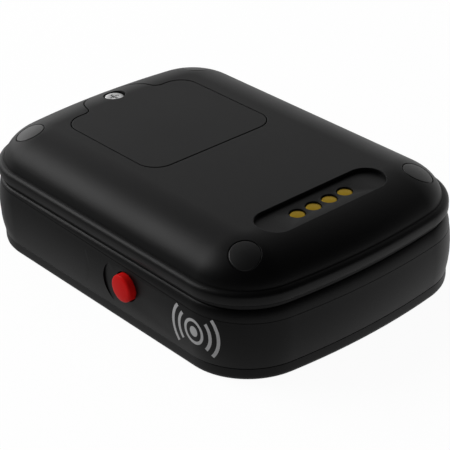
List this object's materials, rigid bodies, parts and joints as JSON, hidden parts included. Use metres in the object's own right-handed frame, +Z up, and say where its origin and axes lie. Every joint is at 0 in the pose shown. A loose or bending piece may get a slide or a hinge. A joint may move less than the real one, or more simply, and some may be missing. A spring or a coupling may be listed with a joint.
{
  "type": "gps tracker",
  "caption": "Pocket locator in a domed black case, with a red call button in the side, a screwed SIM door, sunk charging contacts and a lanyard eye.",
  "frame": {"origin": "middle of the case's footprint, on the flat face of the front panel that the tracker lies on, back cover up", "axes": "+X along the length towards the charging contacts, +Y across the width away from the call button, +Z up out of the back cover"},
  "size_m": [0.062, 0.0448, 0.0175],
  "materials": {
    "case_plastic": "satin black",
    "door_plastic": "satin black",
    "panel_plastic": "semi-gloss black",
    "plug_rubber": "matt black",
    "seal_rubber": "matt dark grey",
    "adhesive": "matt",
    "button_red": "satin red",
    "screw_steel": "zinc plated",
    "bright_screw": "nickel plated",
    "insert_brass": "knurled, bare",
    "contact_gold": "gold plated",
    "switch_plastic": "natural",
    "switch_case": "matt black",
    "board_green": "solder mask",
    "battery_foil": "foil pouch",
    "lead_red": "insulated wire",
    "speaker_metal": "pressed",
    "shield_metal": "tinned",
    "guide_clear": "clear",
    "led_plastic": "clear",
    "card_plastic": "satin",
    "module_blue": "solder mask",
    "antenna_ceramic": "fired"
  },
  "bodies": {
    "case": {"front_panel": "panel_plastic", "panel_adhesive": "adhesive", "housing": "case_plastic", "shell_gasket": "seal_rubber", "rear_cover": "case_plastic", "housing_screws": "screw_steel", "boss_inserts": "insert_brass", "corner_plugs": "plug_rubber", "sim_door_insert": "insert_brass", "side_switch": "switch_case", "main_board": "board_green", "battery": "battery_foil", "battery_tape": "adhesive", "battery_pad": "seal_rubber", "battery_connector": "switch_plastic", "battery_leads": "lead_red", "speaker": "speaker_metal", "speaker_gasket": "seal_rubber", "microphone": "shield_metal", "vibration_motor": "shield_metal", "light_guides": "guide_clear", "status_leds": "led_plastic", "sim_socket": "shield_metal", "modem_module": "module_blue", "module_shield": "shield_metal", "gps_antenna": "antenna_ceramic", "gps_antenna_plate": "shield_metal", "cellular_antenna": "contact_gold", "contact_pads": "contact_gold", "contact_pins": "contact_gold"},
    "call_button": {"sos_button": "button_red", "button_seal": "seal_rubber", "switch_plunger": "switch_plastic"},
    "door": {"sim_door": "door_plastic", "sim_door_seal": "seal_rubber"},
    "door_screw": {"sim_door_screw": "bright_screw"},
    "card": {"sim_card": "card_plastic"}
  },
  "joints": [
    {"name": "call_button_press", "type": "slide", "parent": "case", "child": "call_button", "axis": [0, 1, 0], "range_m": [0, 0.0005], "stiffness_N_per_m": 500},
    {"name": "sim_door_lift", "type": "slide", "parent": "case", "child": "door", "axis": [0, 0, 1], "range_m": [0, 0.012]},
    {"name": "door_screw_turn", "type": "hinge", "parent": "door", "child": "door_screw", "pos_m": [-0.0233, 0, 0.0164], "axis": [0, 0, 1], "continuous": true},
    {"name": "sim_card_slide", "type": "slide", "parent": "case", "child": "card", "axis": [1, 0, 0], "range_m": [0, 0.0083]}
  ]
}
